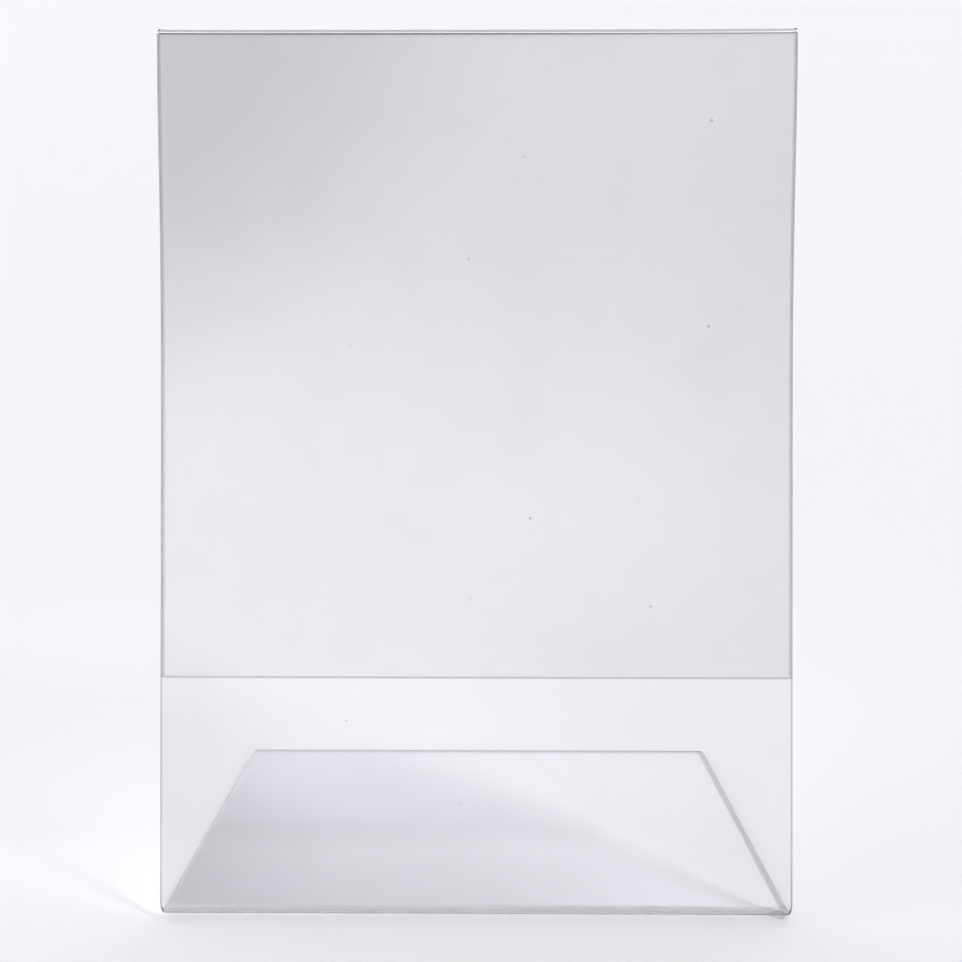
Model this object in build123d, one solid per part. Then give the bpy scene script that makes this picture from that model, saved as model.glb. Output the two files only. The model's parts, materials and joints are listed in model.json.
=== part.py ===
"""A4 portrait counter sign holder, heat-bent from one sheet of clear acrylic.

The sheet leans back as a front panel, turns over the top in a tight U fold and hangs down again as a
rear flap, so that a card is held between the two.  At the bottom it turns back as a tapered foot.
Each flat stretch of the sheet is a node of its own, each bend is two, and they meet face to face.

Units are millimetres.  +Z is up, the front faces -Y and the width runs along X.
The origin is on the counter, under the middle of the holder's box.
"""
from build123d import *
import os
from math import cos, radians, sin

# Driving dimensions
SHEET = 1.5              # thickness of the acrylic
WIDTH = 217.0            # a 210 mm card with 3.5 mm of acrylic on each side
LEAN = 20.0              # degrees that the panel leans back from upright
PANEL_LENGTH = 301.0     # up the slope, over both bends: a 297 mm card and its clearance
FLAP_LENGTH = 221.0      # down the slope, from the top of the fold to the flap's free edge
POCKET_GAP = 2.2         # between the panel and the flap
BEND_INSIDE = 2.5        # inside radius of the bottom bend
FOOT_DEPTH = 112.0       # from the front of the bottom bend to the foot's rear edge
FOOT_REAR_WIDTH = 180.0
FOOT_CORNER = 1.5        # radius of the foot's two rear corners
FLAP_CORNER = 0.8        # radius of the flap's two free corners

# Directions and radii
up_slope = Vector(0, sin(radians(LEAN)), cos(radians(LEAN)))
outward = Vector(0, -cos(radians(LEAN)), sin(radians(LEAN)))    # out of the panel's front face
down = Vector(0, 0, -1)
bend_middle = (outward + down).normalized()
fold_inside = POCKET_GAP / 2
fold_outside = fold_inside + SHEET
bend_outside = BEND_INSIDE + SHEET
panel_flat = PANEL_LENGTH - bend_outside - fold_outside
flap_flat = FLAP_LENGTH - fold_outside

# Centres of the two bends, and the Y at which the foot begins to taper
bend_centre = Vector(0, bend_outside - FOOT_DEPTH / 2, bend_outside)
fold_centre = bend_centre + outward * (bend_outside - fold_outside) + up_slope * panel_flat
taper_start = (bend_centre + outward * BEND_INSIDE).Y


def flat(corner, along, inward):
    """A flat stretch at full width: along runs over its outer face, inward goes through the sheet."""
    outline = Polyline(corner, corner + along, corner + along + inward, corner + inward, close=True)
    return extrude(make_face(outline), amount=WIDTH / 2, dir=(1, 0, 0), both=True)


def bent(centre, inside, start, end):
    """A bent stretch at full width: a ring sector of the sheet from direction start to direction end."""
    middle = (start + end).normalized()
    outer, inner = (
        ThreePointArc(*(centre + direction * radius for direction in (start, middle, end)))
        for radius in (inside + SHEET, inside)
    )
    outline = Wire([outer, Line(outer @ 1, inner @ 1), inner, Line(inner @ 0, outer @ 0)])
    return extrude(make_face(outline), amount=WIDTH / 2, dir=(1, 0, 0), both=True)


def foot_block():
    """What the foot and its bend are cut to: full width at the front, tapered towards the rear edge."""
    front, rear = -FOOT_DEPTH / 2, FOOT_DEPTH / 2
    right_side = [(WIDTH / 2, front), (WIDTH / 2, taper_start), (FOOT_REAR_WIDTH / 2, rear)]
    left_side = [(-x, y) for x, y in reversed(right_side)]
    return extrude(make_face(Polyline(*right_side, *left_side, close=True)), 2 * bend_outside)


def rounded(plate, axis, radius, corners_at):
    """A plate with the two corners at one end of it rounded, through its thickness along axis."""
    edges = plate.edges().filter_by(axis).sort_by_distance(corners_at)
    return fillet(edges[:2], radius)


def front_panel():
    """The leaning panel, from the bottom bend to the fold."""
    return flat(bend_centre + outward * bend_outside, up_slope * panel_flat, outward * -SHEET)


def top_fold_front():
    """The front half of the U fold, from the panel to the crest."""
    return bent(fold_centre, fold_inside, outward, up_slope)


def top_fold_rear():
    """The rear half of the U fold, from the crest to the flap."""
    return bent(fold_centre, fold_inside, up_slope, -outward)


def rear_flap():
    """The flap that hangs behind the panel, with its free edge downwards."""
    top = fold_centre - outward * fold_outside
    plate = flat(top, up_slope * -flap_flat, outward * SHEET)
    return rounded(plate, Axis(top, outward), FLAP_CORNER, top - up_slope * flap_flat)


def bottom_bend_front():
    """The upper half of the bottom bend, which carries the panel."""
    return bent(bend_centre, BEND_INSIDE, outward, bend_middle) & foot_block()


def bottom_bend_heel():
    """The lower half of the bottom bend, which turns into the foot."""
    return bent(bend_centre, BEND_INSIDE, bend_middle, down) & foot_block()


def base_foot():
    """The foot that lies on the counter behind the panel, tapered towards its rear edge."""
    heel = bend_centre + down * bend_outside
    rear = Vector(0, FOOT_DEPTH / 2, 0)
    plate = flat(heel, rear - heel, Vector(0, 0, SHEET)) & foot_block()
    return rounded(plate, Axis.Z, FOOT_CORNER, rear)


os.makedirs("parts", exist_ok=True)
for node in (
    front_panel, top_fold_front, top_fold_rear, rear_flap,
    bottom_bend_front, bottom_bend_heel, base_foot,
):
    export_step(node(), f"parts/{node.__name__}.step")
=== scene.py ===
"""Looks for the acrylic counter sign holder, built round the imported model.

The holder is one sheet of acrylic, so one grid of points is swept along it, from the foot's rear edge
to the flap's free edge, and then cut into named pieces.  Where a point lies along that way is its travel.
Lengths are in metres, +Z is up and the front faces -Y.
"""

import json
from math import cos, pi, radians, sin

import bpy
import numpy as np
from mathutils import Matrix, Vector


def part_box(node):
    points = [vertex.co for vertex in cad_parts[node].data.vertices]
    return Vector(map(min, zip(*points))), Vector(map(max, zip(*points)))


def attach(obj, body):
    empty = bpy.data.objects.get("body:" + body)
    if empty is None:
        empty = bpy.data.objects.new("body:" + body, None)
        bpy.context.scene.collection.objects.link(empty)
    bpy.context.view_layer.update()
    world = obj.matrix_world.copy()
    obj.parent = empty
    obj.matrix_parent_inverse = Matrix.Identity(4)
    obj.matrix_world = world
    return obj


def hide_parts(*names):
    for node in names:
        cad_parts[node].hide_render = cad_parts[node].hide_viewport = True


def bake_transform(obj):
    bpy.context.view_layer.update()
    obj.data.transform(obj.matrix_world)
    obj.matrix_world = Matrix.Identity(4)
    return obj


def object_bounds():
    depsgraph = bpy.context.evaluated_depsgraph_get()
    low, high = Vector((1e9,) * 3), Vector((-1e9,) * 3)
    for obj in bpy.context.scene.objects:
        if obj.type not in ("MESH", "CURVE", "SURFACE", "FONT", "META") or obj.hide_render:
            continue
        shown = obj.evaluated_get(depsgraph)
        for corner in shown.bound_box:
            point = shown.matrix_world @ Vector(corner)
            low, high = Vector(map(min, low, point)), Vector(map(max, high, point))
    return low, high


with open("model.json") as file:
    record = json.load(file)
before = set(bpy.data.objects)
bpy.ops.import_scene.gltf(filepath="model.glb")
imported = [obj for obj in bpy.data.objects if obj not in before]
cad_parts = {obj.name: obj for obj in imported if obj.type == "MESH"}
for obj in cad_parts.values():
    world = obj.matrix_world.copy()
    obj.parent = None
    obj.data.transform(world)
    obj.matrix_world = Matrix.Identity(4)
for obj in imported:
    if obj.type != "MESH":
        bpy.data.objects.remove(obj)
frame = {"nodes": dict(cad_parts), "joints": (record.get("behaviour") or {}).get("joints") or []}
cad_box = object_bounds()

# What the frame doesn't say about the sheet
FOOT_REAR_WIDTH = 0.180
FOOT_CORNER = 0.0015        # radius of the foot's rear corners
FLAP_CORNER = 0.0008        # radius of the flap's free corners
EDGE_ROUND = 0.0006         # radius that flame polishing leaves along a cut edge

# What the hot bending did to it
WAIST = 0.0017              # how much further in each side edge is, well below the fold
WAIST_FADE = 0.065          # distance from the fold over which the side edges draw in
CREST_BOW = 0.0003          # how much lower the middle of the fold is than its ends
FLARE = 0.0002              # how far the ends of a bend stand out from its middle
FLARE_WIDTH = 0.0016
WAVE = 0.00012              # slow waviness of the flat stretches
WAVE_START = 0.03           # distance above the bottom bend over which it comes up
WAVE_SLANTS = ((31, 9), (-13, 23))      # radians per metre along and across, of its two factors

# How finely the sheet is divided
CELLS_ACROSS = 64
EDGE_CELLS = 5              # round the quarter circle of an edge
CORNER_CELLS = 12           # round the quarter circle of a corner
CELLS_ALONG = {"base_foot": 24, "bottom_bend": 28, "front_panel": 60, "top_fold": 40, "rear_flap": 44}
SMALLEST = 1e-6             # radius left where a rounding has run out

# The acrylic: tints, and roughness, to which smudges, scratches and specks add theirs
ACRYLIC_TINT = (0.860, 0.858, 0.872, 1)
LAMP_TINT = (0.91, 0.91, 0.917, 1)      # of each face that a lamp's light passes
ACRYLIC_IOR = 1.49
POLISHED = (0.012, 0.03)
SMUDGED_SHARE = 0.975       # of the tint, where the sheet is smudged
SMUDGE_ROUGHNESS = 0.035
SCRATCH_ROUGHNESS = 0.02
SPECK_ROUGHNESS = 0.4
SPECK_COLOUR = (0.40, 0.39, 0.40, 1)
SPECK_SPACING = 0.06
SPECK_SIZE = 0.0006
SPECK_RARITY = 7.0          # the higher, the fewer of them come near that size
# painted shade: a dark line along the crest inside the fold
CREASE_SHADE_COLOUR = (0.14, 0.14, 0.15, 1)
CREASE_SHADE_REACH = (0.0006, 0.0014)           # from the crest: where the painted shade is full, and where it ends
# painted shade: a greyer tint over the outside of the bottom bend, where it reflects the counter in front,
# and over the outside of the fold
BEND_SHADE_TINT = (0.64, 0.64, 0.66, 1)
BEND_SHADE_FOLD_INSET = 0.0004              # how far inside the fold's two ends its painted shade ends
BEND_SHADE_REACH = (0.0010, 0.0042)    # from the bottom bend's start: on the foot, and up the bend
BEND_SHADE_FADE = 0.0008
# painted shade: the cut edges tinted darker grey, so that they show as dark lines
EDGE_SHADE_TINTS = ((0.50, 0.50, 0.53, 1), (0.68, 0.68, 0.71, 1))
EDGE_ROUGHNESS = (0.08, 0.24)
SAW_LINES = 900.0           # per metre
SAW_DEPTH = 0.00002

# The photograph's view, with the camera's angles in degrees and its lens in millimetres
CAMERA_DISTANCE = 0.550     # from the middle of the panel
CAMERA_TURN = 0.7
CAMERA_RISE = 19.8
CAMERA_ROLL = -0.17
CAMERA_LENS = 60.9437
CAMERA_SHIFT = (0.0051, -0.0124)

FLOOR_SIZE = 14
FLOOR_COLOURS = ((0.885, 0.885, 0.895, 1), (0.90, 0.90, 0.91, 1))
FLOOR_GAP = 0.0003          # between the counter and most of the foot, which rests on its high spots

# The key lamp: degrees right of straight in front and degrees up, how wide it looks, and its strength
KEY_PLACE = (72, 48)
KEY_WIDTH = radians(10)
KEY_LIGHT = 1.0

# The room's light, and where it differs: degrees right of straight in front, degrees up, degrees from
# there within which all of the change holds and beyond which none does, and the change
ROOM_COLOUR = (0.965, 0.96, 1, 1)
ROOM_LIGHT = 1.56
ROOM_PATCHES = {
    "dimmer_front": (0, 25, 35, 75, -0.16),
    "front_softbox": (-23, 35, 25, 39, 0.93),
    "dark_corner": (-40, 43, 17, 34, -1.93),
    "dark_ceiling": (17, 71, 41, 54, -1.16),
    "dark_low_corner": (-18, 3, 5, 14, -1.97),
    "back_softbox": (177, 28, 20, 37, 0.40),
    "dark_back": (-168, 49, 14, 21, -1.90),
    "back_strip": (-157, 13, 7, 16, 2.4),
}
BACKDROP_LIGHT = 0.95       # what shows behind the floor, directly or through the sheet


# ---------------------------------------------------------------- the sheet's section, from the frame

def furthest(node, direction):
    """The vertex of a CAD node that lies furthest in a direction, moved to the middle of the width."""
    toward = Vector(direction)
    found = max((v.co for v in frame["nodes"][node].data.vertices), key=toward.dot)
    return Vector((0, found.y, found.z))


across = Vector((1, 0, 0))
down = Vector((0, 0, -1))
foot_low, foot_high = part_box("base_foot")
half_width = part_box("front_panel")[1].x
half_sheet = (foot_high.z - foot_low.z) / 2
panel_low = furthest("front_panel", (0, -1, 0))
panel_high = furthest("front_panel", (0, 0, 1))
hinge = Vector(frame["joints"][0]["pos_m"])
up_slope = (panel_high - panel_low).normalized()
outward = up_slope.cross(-across)
bend_centre = Vector((0, foot_low.y, foot_low.y - cad_box[0].y))
fold_centre = (panel_high + hinge) / 2
panel_length = (panel_high - panel_low).length
flap_length = (hinge - furthest("rear_flap", (0, 0, -1))).dot(up_slope)


def straight(start, normal, length, cells):
    """Points along a flat stretch, short of its end, with the normal of the sheet's outer face."""
    along = normal.cross(across)
    return [(start + along * length * i / cells, normal) for i in range(cells)]


def arc(centre, radius, start, angle, cells):
    """Points round a bend, short of its end, with the normal of the sheet's outer face."""
    normals = [Matrix.Rotation(-angle * i / cells, 3, "X") @ start for i in range(cells)]
    return [(centre + normal * radius, normal) for normal in normals]


def corner_steps(radius):
    """Distances from a free edge that divide its corner's quarter circle evenly."""
    return [radius * (1 - cos(pi / 2 * i / CORNER_CELLS)) for i in range(CORNER_CELLS)]


def sheet_stretches():
    """The sheet's middle surface, from the foot's rear edge to the flap's free edge, piece by piece."""
    bend_radius = bend_centre.z - half_sheet
    fold_radius = (hinge - panel_high).length / 2 - half_sheet
    foot_end = Vector((0, foot_high.y, half_sheet))
    foot_flat = foot_high.y - foot_low.y - FOOT_CORNER
    panel_start = bend_centre + outward * bend_radius
    flap_top = fold_centre - outward * fold_radius
    flap_end = flap_top - up_slope * flap_length
    cells = CELLS_ALONG
    return {
        "base_foot": [(foot_end - Vector((0, step, 0)), down) for step in corner_steps(FOOT_CORNER)]
        + straight(foot_end - Vector((0, FOOT_CORNER, 0)), down, foot_flat, cells["base_foot"]),
        "bottom_bend": arc(bend_centre, bend_radius, down, down.angle(outward), cells["bottom_bend"]),
        "front_panel": straight(panel_start, outward, panel_length, cells["front_panel"]),
        "top_fold": arc(fold_centre, fold_radius, outward, pi, cells["top_fold"]),
        "rear_flap": straight(flap_top, -outward, flap_length - FLAP_CORNER, cells["rear_flap"])
        + [(flap_end + up_slope * FLAP_CORNER, -outward)]
        + [(flap_end + up_slope * step, -outward) for step in reversed(corner_steps(FLAP_CORNER))],
    }


# ---------------------------------------------------------------- the sheet's grid

def rounded_off(distance, radius):
    """How far a quarter-round edge has fallen away, at a distance from its end."""
    reach = np.maximum(radius - distance, 0)
    return radius - np.sqrt(radius ** 2 - reach ** 2)


def ring(half_span, half_depth, edge):
    """A rounded rectangle across the sheet, as (x, depth): over the outer face from the left, and back."""
    turns = np.linspace(0, pi / 2, EDGE_CELLS + 1)
    left_x = edge - half_span - edge * np.cos(turns)
    left = np.column_stack([left_x, half_depth - edge + edge * np.sin(turns)])
    shares = np.sin(pi / 2 * np.linspace(-1, 1, CELLS_ACROSS + 1)[1:-1])
    face = np.column_stack([(half_span - edge) * shares, np.full(len(shares), half_depth)])
    upper = np.vstack([left, face, left[::-1] * (-1, 1)])
    return np.vstack([upper, upper[::-1] * (1, -1)])


def bend_shape(travel, start, end):
    """1 in the middle of a bend, and 0 from its ends outwards."""
    share = np.clip((travel - start) / (end - start), 0, 1)
    return np.sin(pi * share) ** 2


class Sheet:
    """The whole sheet as rows of rings, with a normal and a place on the flat sheet for each point.

    A place is x and travel.  On the inner side 1 is added to x, so that the two sides can be told apart.
    """

    def __init__(self):
        stretches = sheet_stretches()
        rows = [row for points in stretches.values() for row in points]
        counts = [len(points) for points in stretches.values()]
        self.starts = dict(zip(stretches, np.cumsum([0] + counts)))
        middles = np.array([middle for middle, _ in rows])
        faces = np.array([normal for _, normal in rows])
        steps = np.linalg.norm(np.diff(middles, axis=0), axis=1)
        self.travel = np.concatenate([[0], np.cumsum(steps)])
        self.crest = (self.at("top_fold") + self.at("rear_flap")) / 2
        rings = np.array([ring(*size) for size in zip(*self.sizes())])
        x, depth = rings[..., :1], rings[..., 1:]
        depth = depth + self.out_of_flat(x)
        self.points = middles[:, None] + x * np.array(across) + depth * faces[:, None]
        self.points -= self.bow(x) * np.array(up_slope)
        inner_side = np.arange(rings.shape[1]) >= rings.shape[1] // 2
        travels = np.broadcast_to(self.travel[:, None], rings.shape[:2])
        self.places = np.stack([rings[..., 0] + inner_side, travels], -1)
        self.normals = self.area_normals()

    def at(self, piece):
        """The travel at which a piece starts."""
        return self.travel[self.starts[piece]]

    def sizes(self):
        """Half the width, half the thickness and the edge radius of each row."""
        travel, back = self.travel, self.travel[-1] - self.travel
        taper = np.minimum(travel / self.at("front_panel"), 1)
        drawn_in = WAIST * (1 - np.exp(-((travel - self.crest) / WAIST_FADE) ** 2))
        span = FOOT_REAR_WIDTH / 2 + (half_width - FOOT_REAR_WIDTH / 2 - drawn_in) * taper
        span -= rounded_off(travel, FOOT_CORNER) + rounded_off(back, FLAP_CORNER)
        nearest = np.minimum(travel, back)
        edge = np.sqrt(EDGE_ROUND ** 2 - np.maximum(EDGE_ROUND - nearest, 0) ** 2)
        return span, half_sheet - rounded_off(nearest, EDGE_ROUND), np.maximum(edge, SMALLEST)

    def out_of_flat(self, x):
        """How far the bends and the waviness move the sheet out along its outer face's normal."""
        travel = self.travel[:, None, None]
        ends = np.exp(-(half_width - np.abs(x)) / FLARE_WIDTH)
        bends = bend_shape(travel, self.at("bottom_bend"), self.at("front_panel"))
        bends = bends + bend_shape(travel, self.at("top_fold"), self.at("rear_flap"))
        away = np.clip((travel - self.at("front_panel")) / WAVE_START, 0, 1)
        first, second = (travel * along + x * sideways for along, sideways in WAVE_SLANTS)
        wave = np.sin(first) * np.cos(second + 1)
        return WAVE * wave * away - FLARE * (1 - ends) * bends

    def bow(self, x):
        """How far the sheet is drawn down its slope: most in the middle of the fold."""
        travel = self.travel[:, None, None]
        near = 1 - np.abs(travel - self.crest) / panel_length
        return CREST_BOW * (1 - (x / half_width) ** 2) * np.clip(near, 0, 1) ** 2

    def area_normals(self):
        """Vertex normals of the whole grid, weighted by area, so that they run on across the pieces."""
        p = self.points
        right, up = np.roll(p, -1, axis=1)[:-1], p[1:]
        face = np.cross(np.roll(up, -1, axis=1) - p[:-1], up - right)
        total = np.zeros_like(p)
        for rows in (slice(0, -1), slice(1, None)):
            total[rows] += face + np.roll(face, 1, axis=1)
        return total / np.maximum(np.linalg.norm(total, axis=-1, keepdims=True), 1e-12)


def piece_faces(sheet, first, last):
    """The faces of a closed stretch of the sheet, as vertex numbers, and the finish of each."""
    count = sheet.points.shape[1]
    half = count // 2
    faces, finishes = [], []
    for row in range(last - first):
        low, high = row * count, (row + 1) * count
        nearest = min(sheet.travel[first + row], sheet.travel[-1] - sheet.travel[first + row + 1])
        for j in range(count):
            k = (j + 1) % count
            faces.append((low + j, low + k, high + k, high + j))
            along = j % half
            at_side = along < EDGE_CELLS or along >= half - 1 - EDGE_CELLS
            finishes.append("edge" if at_side or nearest < EDGE_ROUND else "face")
    for end, row in ((first, 0), (last, last - first)):
        for j in range(half - 1):
            quad = [row * count + i for i in (j, j + 1, count - 2 - j, count - 1 - j)]
            faces.append(quad[::-1] if row == 0 else quad)
            finishes.append("edge" if end in (0, len(sheet.points) - 1) else "inside")
    return faces, finishes


def build_piece(name, sheet, first, last, materials):
    """One stretch of the sheet as a closed mesh, from one row to another."""
    rows = slice(first, last + 1)
    faces, finishes = piece_faces(sheet, first, last)
    mesh = bpy.data.meshes.new(name)
    mesh.from_pydata(sheet.points[rows].reshape(-1, 3).tolist(), [], faces)
    slots = {finish: i for i, finish in enumerate(materials)}
    for material in materials.values():
        mesh.materials.append(material)
    mesh.polygons.foreach_set("material_index", [slots[finish] for finish in finishes])
    mesh.polygons.foreach_set("use_smooth", [True] * len(faces))
    layer = mesh.uv_layers.new(name="sheet")
    loops = np.empty(len(mesh.loops), int)
    mesh.loops.foreach_get("vertex_index", loops)
    layer.data.foreach_set("uv", sheet.places[rows].reshape(-1, 2)[loops].ravel())
    mesh.normals_split_custom_set_from_vertices(sheet.normals[rows].reshape(-1, 3).tolist())
    mesh.update()
    piece = bpy.data.objects.new(name, mesh)
    bpy.context.scene.collection.objects.link(piece)
    return piece


# ---------------------------------------------------------------- materials

class Nodes:
    """A node tree under construction, with short forms for the nodes that are used here."""

    def __init__(self, tree):
        self.nodes, self.links = tree.nodes, tree.links

    def add(self, kind, *sources, **settings):
        """A node with its first inputs linked or set, and its settings made."""
        node = self.nodes.new("ShaderNode" + kind)
        for name, value in settings.items():
            setattr(node, name, value)
        for socket, source in zip(node.inputs, sources):
            self.feed(socket, source)
        return node

    def feed(self, socket, source):
        """Links a socket to a source, sets it to a value, or leaves it as it is for None."""
        if isinstance(source, bpy.types.NodeSocket):
            self.links.new(source, socket)
        elif source is not None:
            socket.default_value = source

    def feed_by_name(self, node, **values):
        """Feeds a node's sockets, given with underscores for spaces."""
        for name, value in values.items():
            self.feed(node.inputs[name.replace("_", " ")], value)

    def maths(self, operation, *values):
        return self.add("Math", *values, operation=operation).outputs[0]

    def ramp(self, value, low, high, to_low=0.0, to_high=1.0):
        """A value moved smoothly from one range to another."""
        limits = (low, high, to_low, to_high)
        return self.add("MapRange", value, *limits, interpolation_type="SMOOTHSTEP").outputs[0]

    def mix(self, share, first, second):
        """A colour between two, given as sockets or values."""
        node = self.add("Mix", data_type="RGBA")
        for name, source in (("Factor_Float", share), ("A_Color", first), ("B_Color", second)):
            self.feed(next(socket for socket in node.inputs if socket.identifier == name), source)
        return next(socket for socket in node.outputs if socket.identifier == "Result_Color")

    def noise(self, vector, scale, detail=2.0, roughness=0.5):
        node = self.add("TexNoise")
        self.feed_by_name(node, Vector=vector, Scale=scale, Detail=detail, Roughness=roughness)
        return node.outputs["Fac"]


class Shader(Nodes):
    """A material under construction."""

    def __init__(self, name):
        self.material = bpy.data.materials.new(name)
        self.material.use_nodes = True
        super().__init__(self.material.node_tree)
        self.principled = self.nodes["Principled BSDF"]
        self.output = self.nodes["Material Output"]

    def set(self, **values):
        """Feeds the Principled shader's sockets, given with underscores for spaces."""
        self.feed_by_name(self.principled, **values)

    def place(self, scale=(1, 1, 1), turn=0.0):
        """Where a point lies on the flat sheet, in metres, turned and scaled."""
        uv = self.add("UVMap", uv_map="sheet").outputs[0]
        return self.add("Mapping", uv, None, (0, 0, turn), scale).outputs[0]

    def let_lamps_through(self, tint):
        """Light from lamps passes straight through, tinted, instead of being stopped by the glass."""
        from_lamp = self.add("LightPath").outputs["Is Shadow Ray"]
        clear = self.add("BsdfTransparent", tint).outputs[0]
        mixed = self.add("MixShader", from_lamp, self.principled.outputs[0], clear)
        self.links.new(mixed.outputs[0], self.output.inputs["Surface"])


def scratches(shader, turn, pitch, length, share):
    """Fine wiping scratches in one direction: 1 in a scratch and 0 between them."""
    drawn_out = shader.noise(shader.place((1 / length, 1 / pitch, 1), turn), 1.0, 1.0)
    return shader.ramp(drawn_out, 1 - share, 1.02 - share)


def specks(shader):
    """Sparse specks of dust and tiny chips, of uneven size: 1 on a speck."""
    size = SPECK_SIZE / SPECK_SPACING
    cells = shader.add("TexVoronoi", voronoi_dimensions="2D")
    shader.feed_by_name(cells, Vector=shader.place(), Scale=1 / SPECK_SPACING)
    uneven = shader.add("SeparateColor", cells.outputs["Color"]).outputs[0]
    radius = shader.maths("MULTIPLY", shader.maths("POWER", uneven, SPECK_RARITY), size)
    within = shader.maths("SUBTRACT", radius, cells.outputs["Distance"])
    return shader.ramp(within, 0.0, 0.12 * size)


def near_travel(shader, travel, full, none):
    """1 within one distance of a place along the sheet, and 0 beyond another."""
    along = shader.add("SeparateXYZ", shader.place()).outputs["Y"]
    away = shader.maths("ABSOLUTE", shader.maths("SUBTRACT", along, travel))
    return shader.ramp(away, full, none, 1.0, 0.0)


def side(shader, comparison):
    """1 on one side of the sheet: GREATER_THAN gives the inner side and LESS_THAN the outer."""
    return shader.maths(comparison, shader.add("SeparateXYZ", shader.place()).outputs["X"], 0.5)


def crease_shade(shader, sheet):
    """The crest inside the fold, where a dark line of painted shade is laid: 1 there and 0 elsewhere."""
    crest = near_travel(shader, sheet.crest, *CREASE_SHADE_REACH)
    return shader.maths("MULTIPLY", side(shader, "GREATER_THAN"), crest)


def shaded_bends(shader, sheet):
    """The outside of the two bends, tinted greyer as painted shade, which stands in for the bottom bend's
    dim reflection of the counter in front: 1 there.
    """
    foot_reach, bend_reach = BEND_SHADE_REACH
    stretches = []
    for start, end in (
        (sheet.at("bottom_bend") - foot_reach, sheet.at("bottom_bend") + bend_reach),
        (sheet.at("top_fold") + BEND_SHADE_FOLD_INSET, sheet.at("rear_flap") - BEND_SHADE_FOLD_INSET),
    ):
        middle, reach = (start + end) / 2, (end - start) / 2
        stretches.append(near_travel(shader, middle, reach - BEND_SHADE_FADE, reach + BEND_SHADE_FADE))
    both = shader.maths("MAXIMUM", *stretches)
    return shader.maths("MULTIPLY", side(shader, "LESS_THAN"), both)


def clear_acrylic(sheet):
    """The polished faces: clear, with scratches, smudges and a few specks, and painted shade: a dark line
    inside the fold and a greyer tint over the outside of the bends.
    """
    shader = Shader("clear_acrylic")
    smudge = shader.ramp(shader.noise(shader.place(), 28.0, 4.0, 0.6), 0.50, 0.72)
    haze = shader.noise(shader.place(), 9.0, 2.0)
    steep = scratches(shader, turn=0.5, pitch=0.0009, length=0.09, share=0.31)
    crossing = scratches(shader, turn=-0.9, pitch=0.0007, length=0.06, share=0.29)
    wiped = shader.maths("MAXIMUM", steep, crossing)
    speck = specks(shader)
    colour = shader.mix(smudge, ACRYLIC_TINT, [SMUDGED_SHARE * c for c in ACRYLIC_TINT[:3]] + [1])
    colour = shader.mix(speck, colour, SPECK_COLOUR)
    # painted shade: the dark line inside the fold
    colour = shader.mix(crease_shade(shader, sheet), colour, CREASE_SHADE_COLOUR)
    # painted shade: the greyer outside of both bends
    colour = shader.mix(shaded_bends(shader, sheet), colour, BEND_SHADE_TINT)
    rough = shader.maths("MULTIPLY_ADD", smudge, SMUDGE_ROUGHNESS, shader.ramp(haze, 0.3, 0.7, *POLISHED))
    rough = shader.maths("MULTIPLY_ADD", wiped, SCRATCH_ROUGHNESS, rough)
    rough = shader.maths("MULTIPLY_ADD", speck, SPECK_ROUGHNESS, rough)
    shader.set(Base_Color=colour, Roughness=rough, Transmission_Weight=1.0, IOR=ACRYLIC_IOR)
    shader.let_lamps_through(LAMP_TINT)
    return shader.material


def cut_edge():
    """The flame-polished edges: glossy, with the saw's faint lines left along them, and with painted shade:
    a darker grey tint, so that they show as dark lines.
    """
    shader = Shader("cut_edge")
    lines = shader.noise(shader.place((SAW_LINES, SAW_LINES, 1)), 1.0, 3.0, 0.7)
    relief = shader.add("Bump")
    shader.feed_by_name(relief, Height=lines, Distance=SAW_DEPTH, Strength=1.0)
    shader.set(
        Base_Color=shader.mix(shader.noise(shader.place(), 60.0, 2.0), *EDGE_SHADE_TINTS),
        Roughness=shader.ramp(lines, 0.3, 0.7, *EDGE_ROUGHNESS),
        Normal=relief.outputs["Normal"],
        Transmission_Weight=1.0,
        IOR=ACRYLIC_IOR,
    )
    return shader.material


def inside():
    """The faces where two pieces of the one sheet meet, which don't show."""
    shader = Shader("inside")
    see_through = shader.add("BsdfTransparent")
    shader.nodes.remove(shader.principled)
    shader.links.new(see_through.outputs[0], shader.output.inputs["Surface"])
    return shader.material


def pale_floor():
    """A plain pale counter with a faint unevenness."""
    shader = Shader("pale_floor")
    cloud = shader.noise(shader.add("NewGeometry").outputs["Position"], 1.2, 2.0)
    shader.set(Base_Color=shader.mix(cloud, *FLOOR_COLOURS), Roughness=0.8, Specular_IOR_Level=0.1)
    return shader.material


# ---------------------------------------------------------------- stage

def direction(turn, rise):
    """A unit vector: turn is degrees to the right of straight in front, rise is degrees up."""
    turn, rise = radians(turn), radians(rise)
    return Vector((sin(turn) * cos(rise), -cos(turn) * cos(rise), sin(rise)))


def floor():
    """A large pale floor under the holder."""
    bpy.ops.mesh.primitive_plane_add(size=FLOOR_SIZE, location=(0, 0, cad_box[0].z - FLOOR_GAP))
    plane = bpy.context.object
    plane.name = "floor"
    plane.data.materials.append(pale_floor())


def key_light():
    """The main lamp, so far off that it lights the whole floor evenly."""
    data = bpy.data.lights.new("key", "SUN")
    data.energy = KEY_LIGHT
    data.angle = KEY_WIDTH
    light = bpy.data.objects.new("key", data)
    light.rotation_euler = direction(*KEY_PLACE).to_track_quat("Z", "Y").to_euler()
    bpy.context.scene.collection.objects.link(light)


def room_light(tree):
    """The light from each direction: the room's, with its brighter and dimmer patches."""
    way = tree.add("TexCoord").outputs["Generated"]
    light = ROOM_LIGHT
    for turn, rise, core, reach, change in ROOM_PATCHES.values():
        toward = tree.add("VectorMath", way, direction(turn, rise), operation="DOT_PRODUCT")
        limits = (cos(radians(reach)), cos(radians(core)))
        patch = tree.ramp(toward.outputs["Value"], *limits, 0.0, change)
        light = tree.maths("ADD", patch, light)
    return tree.maths("MAXIMUM", light, 0.0)


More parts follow.
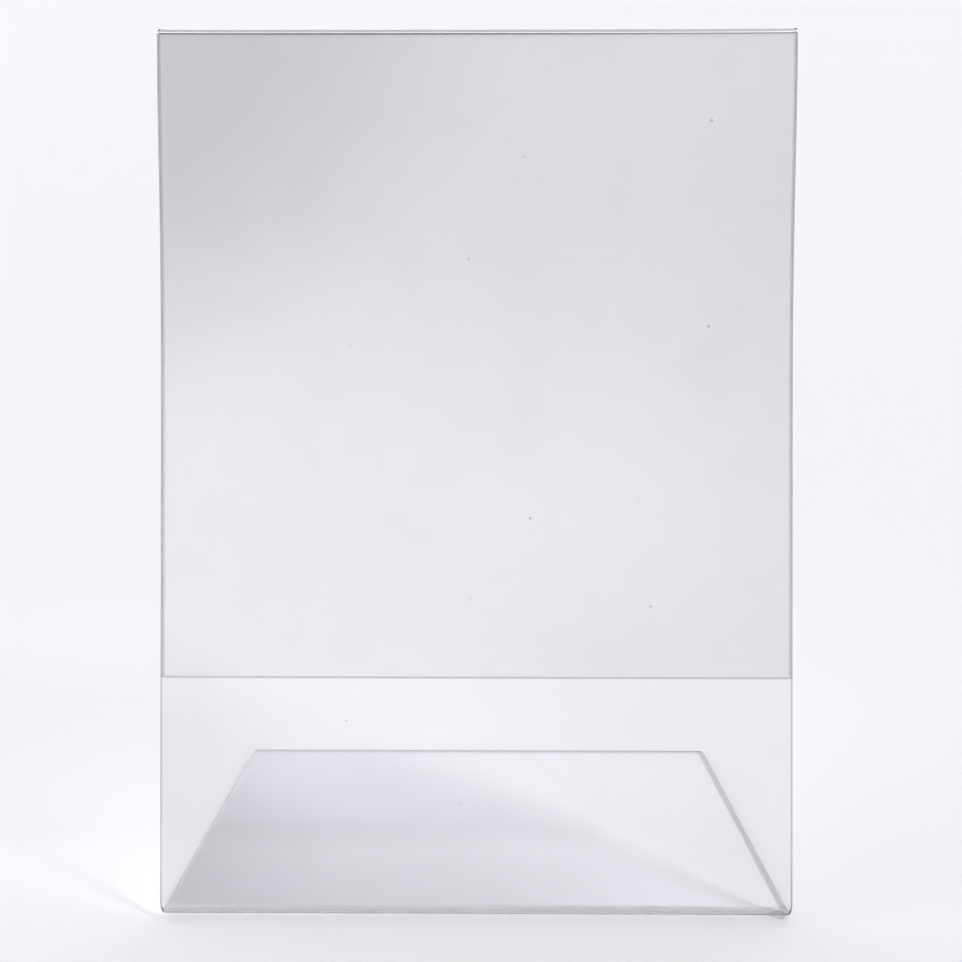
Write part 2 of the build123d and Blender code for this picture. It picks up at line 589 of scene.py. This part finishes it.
def studio():
    """A soft pale room, with a plain backdrop wherever it is seen without a bounce or a reflection."""
    world = bpy.data.worlds.new("studio")
    world.use_nodes = True
    tree = Nodes(world.node_tree)
    path = tree.add("LightPath").outputs
    bounces = tree.maths("ADD", path["Diffuse Depth"], path["Glossy Depth"])
    seen = tree.maths("LESS_THAN", bounces, 0.5)
    strength = tree.add("MapRange", seen, 0.0, 1.0, room_light(tree), BACKDROP_LIGHT).outputs["Result"]
    tree.feed_by_name(tree.nodes["Background"], Color=ROOM_COLOUR, Strength=strength)
    bpy.context.scene.world = world


def camera():
    """The photograph's viewpoint: square to the panel, a little to its right."""
    aim = (panel_low + panel_high) / 2
    back = direction(CAMERA_TURN, CAMERA_RISE)
    data = bpy.data.cameras.new("camera")
    data.lens = CAMERA_LENS
    data.shift_x, data.shift_y = CAMERA_SHIFT
    view = bpy.data.objects.new("camera", data)
    turned = back.to_track_quat("Z", "Y").to_matrix() @ Matrix.Rotation(radians(CAMERA_ROLL), 3, "Z")
    view.matrix_world = Matrix.Translation(aim + back * CAMERA_DISTANCE) @ turned.to_4x4()
    bpy.context.scene.collection.objects.link(view)
    bpy.context.scene.camera = view


# ---------------------------------------------------------------- put together

CAD_NODES = {
    "base_foot": ["base_foot"],
    "bottom_bend": ["bottom_bend_heel", "bottom_bend_front"],
    "front_panel": ["front_panel"],
    "top_fold": ["top_fold_front", "top_fold_rear"],
    "rear_flap": ["rear_flap"],
}


def holder():
    """The sheet's pieces, in place of their CAD nodes, each but the rear flap on the stand's body."""
    sheet = Sheet()
    finishes = {"face": clear_acrylic(sheet), "edge": cut_edge(), "inside": inside()}
    lasts = list(sheet.starts.values())[1:] + [len(sheet.points) - 1]
    for (name, first), last in zip(sheet.starts.items(), lasts):
        piece = build_piece("acrylic_" + name, sheet, first, last, finishes)
        if name == "rear_flap":
            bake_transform(piece)
        else:
            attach(piece, "stand")
        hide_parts(*CAD_NODES[name])


camera()
floor()
studio()
key_light()
holder()
bpy.context.scene.view_settings.view_transform = "Standard"
